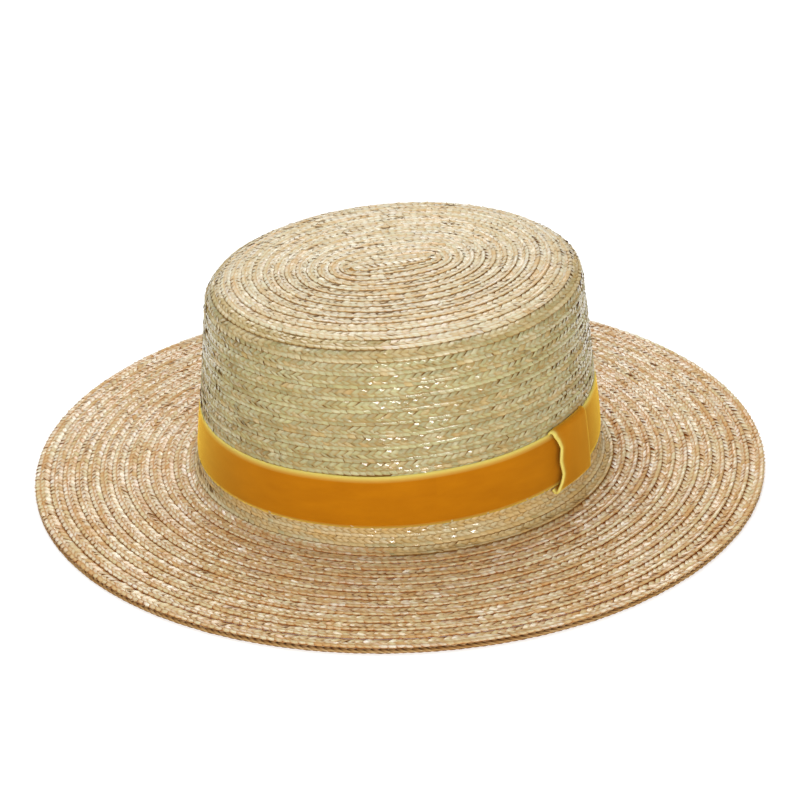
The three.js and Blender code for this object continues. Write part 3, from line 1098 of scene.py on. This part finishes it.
class HAT_OT_stage(bpy.types.Operator):
    """Set the floor, the soft lights and the camera."""

    bl_idname = "straw_hat.stage"
    bl_label = "Stage"

    def execute(self, context):
        stage = context.scene.straw_hat.stage
        bpy.ops.object.select_all(action="DESELECT")
        bpy.ops.mesh.primitive_plane_add(size=8)
        floor = context.object
        floor.name = "floor"
        floor.data.materials.append(floor_material(stage))
        self.set_lights(context, stage)
        self.set_camera(context, stage)
        return {"FINISHED"}

    def set_lights(self, context, stage):
        world = bpy.data.worlds.new("White studio")
        world.use_nodes = True
        background = world.node_tree.nodes["Background"]
        background.inputs["Color"].default_value = (1, 1, 1, 1)
        background.inputs["Strength"].default_value = stage.world_light
        context.scene.world = world
        context.scene.view_settings.view_transform = "Standard"
        # Name, place, size and power in watts
        lamps = (
            ("overhead softbox", (-1.0, 0.06, 1.70), (1.7, 1.7), 31.0),
            ("rear panel", (-1.6, 0.0, 0.70), (2.6, 1.0), 6.5),
            ("front strip light", (1.33, 0.0, 0.48), (1.20, 0.10), 12.0),
            ("side softbox", (0.95, -0.95, 0.65), (1.0, 1.0), 4.0),
        )
        target = Vector((0, 0, 0.06))
        for name, place, size, power in lamps:
            bpy.ops.object.light_add(type="AREA", location=place)
            lamp = context.object
            lamp.name = name
            lamp.data.shape = "RECTANGLE"
            lamp.data.size, lamp.data.size_y = size
            lamp.data.energy = power
            lamp.rotation_euler = (target - Vector(place)).to_track_quat("-Z", "Y").to_euler()

    def set_camera(self, context, stage):
        aim = Vector((0, 0, stage.camera_aim))
        rise = stage.camera_rise
        turn = stage.camera_turn
        away = Vector((math.cos(rise) * math.cos(turn), -math.cos(rise) * math.sin(turn), math.sin(rise)))
        bpy.ops.object.camera_add(location=aim + stage.camera_far * away)
        camera = context.object
        level = (-away).to_track_quat("-Z", "Y")
        camera.rotation_euler = (level @ Quaternion((0, 0, 1), stage.camera_roll)).to_euler()
        camera.data.lens = stage.camera_lens
        camera.data.shift_x = stage.camera_shift_x
        camera.data.shift_y = stage.camera_shift_y
        context.scene.camera = camera


class HAT_PT_panel(bpy.types.Panel):
    """Lists the hat's pieces and their settings."""

    bl_idname = "HAT_PT_panel"
    bl_label = "Wide Brim Straw Hat"
    bl_space_type = "VIEW_3D"
    bl_region_type = "UI"
    bl_category = "Straw Hat"

    def draw(self, context):
        for operator in OPERATORS:
            self.layout.operator(operator.bl_idname)
        hat = context.scene.straw_hat
        for group in (hat.sizes, hat.plait, hat.straw, hat.ribbon, hat.stage):
            box = self.layout.box()
            box.label(text=group.bl_rna.name)
            for prop in group.bl_rna.properties:
                if not prop.is_readonly and prop.identifier != "name":
                    box.prop(group, prop.identifier)


OPERATORS = (
    HAT_OT_brim_edge,
    HAT_OT_brim,
    HAT_OT_crown_side,
    HAT_OT_crown_tip,
    HAT_OT_ribbon,
    HAT_OT_stage,
)
GROUPS = (HatSizes, PlaitSizes, StrawColours, RibbonSizes, StageSettings, HatSettings)
CLASSES = (*GROUPS, *OPERATORS, HAT_PT_panel)


def register():
    for each in CLASSES:
        bpy.utils.register_class(each)
    bpy.types.Scene.straw_hat = bpy.props.PointerProperty(type=HatSettings)


def unregister():
    del bpy.types.Scene.straw_hat
    for each in reversed(CLASSES):
        bpy.utils.unregister_class(each)


def main():
    register()
    bpy.ops.straw_hat.brim_edge()
    bpy.ops.straw_hat.brim()
    bpy.ops.straw_hat.crown_side()
    bpy.ops.straw_hat.crown_tip()
    bpy.ops.straw_hat.ribbon()
    bpy.ops.straw_hat.stage()


if __name__ == "__main__":
    main()
